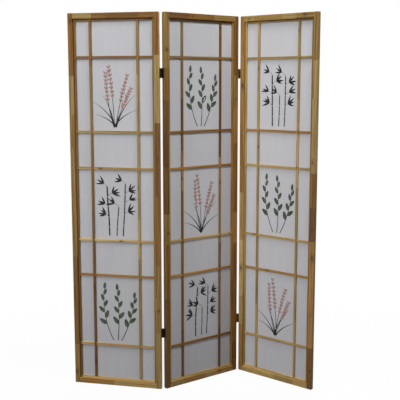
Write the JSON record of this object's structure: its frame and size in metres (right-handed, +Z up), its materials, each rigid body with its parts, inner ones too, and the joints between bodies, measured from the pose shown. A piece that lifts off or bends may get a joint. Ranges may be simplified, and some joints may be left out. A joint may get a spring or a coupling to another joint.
{
  "type": "folding screen",
  "caption": "Free-standing wooden folding screen: equal framed panels with a recessed lattice over paper, hinged in a zigzag so that they fold flat on each other.",
  "frame": {"origin": "on the floor, under the middle of the standing screen's box", "axes": "+Z up; +X to the right along the screen and +Y away from the viewer who faces its front"},
  "size_m": [1.1618, 0.298, 1.785],
  "materials": {
    "frame_wood": "clear satin on honey-coloured pine",
    "lattice_wood": "clear satin on honey-coloured pine",
    "paper": "white fibrous paper with small ink prints",
    "hinge_metal": "black",
    "hinge_screws": "black"
  },
  "bodies": {
    "middle_panel": {"left_lower_hinge_middle_leaf": "hinge_metal", "left_lower_hinge_pin": "hinge_metal", "left_upper_hinge_middle_leaf": "hinge_metal", "left_upper_hinge_pin": "hinge_metal", "middle_bottom_rail": "frame_wood", "middle_hinge_screws": "hinge_screws", "middle_lattice_crossbar_1": "lattice_wood", "middle_lattice_crossbar_2": "lattice_wood", "middle_lattice_crossbar_3": "lattice_wood", "middle_lattice_crossbar_4": "lattice_wood", "middle_lattice_crossbar_5": "lattice_wood", "middle_lattice_crossbar_6": "lattice_wood", "middle_lattice_end_strips": "lattice_wood", "middle_lattice_left_upright": "lattice_wood", "middle_lattice_right_upright": "lattice_wood", "middle_lattice_side_strips": "lattice_wood", "middle_left_stile": "frame_wood", "middle_paper_sheet": "paper", "middle_right_stile": "frame_wood", "middle_top_rail": "frame_wood", "right_lower_hinge_middle_leaf": "hinge_metal", "right_lower_hinge_pin": "hinge_metal", "right_upper_hinge_middle_leaf": "hinge_metal", "right_upper_hinge_pin": "hinge_metal"},
    "left_panel": {"left_bottom_rail": "frame_wood", "left_hinge_screws": "hinge_screws", "left_lattice_crossbar_1": "lattice_wood", "left_lattice_crossbar_2": "lattice_wood", "left_lattice_crossbar_3": "lattice_wood", "left_lattice_crossbar_4": "lattice_wood", "left_lattice_crossbar_5": "lattice_wood", "left_lattice_crossbar_6": "lattice_wood", "left_lattice_end_strips": "lattice_wood", "left_lattice_left_upright": "lattice_wood", "left_lattice_right_upright": "lattice_wood", "left_lattice_side_strips": "lattice_wood", "left_left_stile": "frame_wood", "left_lower_hinge_left_leaf": "hinge_metal", "left_paper_sheet": "paper", "left_right_stile": "frame_wood", "left_top_rail": "frame_wood", "left_upper_hinge_left_leaf": "hinge_metal"},
    "right_panel": {"right_bottom_rail": "frame_wood", "right_hinge_screws": "hinge_screws", "right_lattice_crossbar_1": "lattice_wood", "right_lattice_crossbar_2": "lattice_wood", "right_lattice_crossbar_3": "lattice_wood", "right_lattice_crossbar_4": "lattice_wood", "right_lattice_crossbar_5": "lattice_wood", "right_lattice_crossbar_6": "lattice_wood", "right_lattice_end_strips": "lattice_wood", "right_lattice_left_upright": "lattice_wood", "right_lattice_right_upright": "lattice_wood", "right_lattice_side_strips": "lattice_wood", "right_left_stile": "frame_wood", "right_lower_hinge_right_leaf": "hinge_metal", "right_paper_sheet": "paper", "right_right_stile": "frame_wood", "right_top_rail": "frame_wood", "right_upper_hinge_right_leaf": "hinge_metal"}
  },
  "joints": [
    {"name": "left_fold", "type": "hinge", "parent": "middle_panel", "child": "left_panel", "pos_m": [-0.14331, -0.1181, 0.8925], "axis": [0, 0, 1], "range_deg": [-130, 50]},
    {"name": "right_fold", "type": "hinge", "parent": "middle_panel", "child": "right_panel", "pos_m": [0.22699, 0.13326, 0.8925], "axis": [0, 0, 1], "range_deg": [-102.5, 77.5]}
  ]
}
